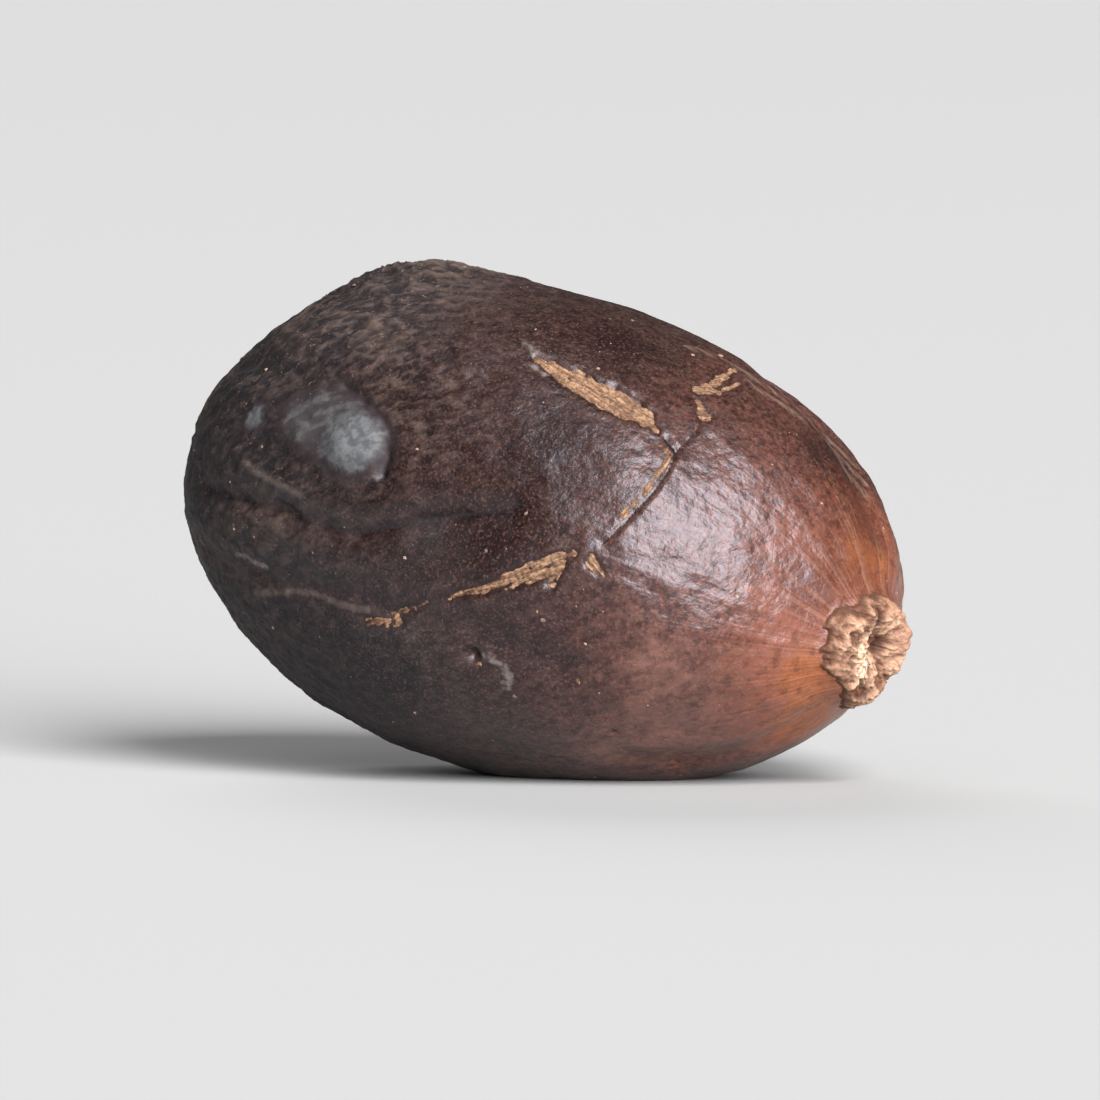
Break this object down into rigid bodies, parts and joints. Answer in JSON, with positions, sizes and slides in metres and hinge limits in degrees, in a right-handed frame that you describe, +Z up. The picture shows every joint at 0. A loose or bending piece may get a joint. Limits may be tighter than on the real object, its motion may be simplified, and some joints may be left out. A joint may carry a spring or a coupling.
{
  "type": "whole nutmeg",
  "caption": "Egg-shaped whole nutmeg in its dark shell, with shallow furrows, pale chips in the skin and a raised hilum scar at one end; lies on its side on a small flat spot.",
  "frame": {"origin": "under the middle of the bounding box, on the surface that the nutmeg rests on", "axes": "+Z up; +X towards the hilum end, along the long axis, which leans 12 degrees down at that end; -Y is the front"},
  "size_m": [0.0294, 0.019, 0.0197],
  "materials": {
    "nutmeg_shell": "smooth semi-gloss seed shell, dark purple brown, turning orange brown towards the tan crusty hilum"
  },
  "bodies": {
    "root": {"nutmeg": "nutmeg_shell"}
  },
  "joints": []
}
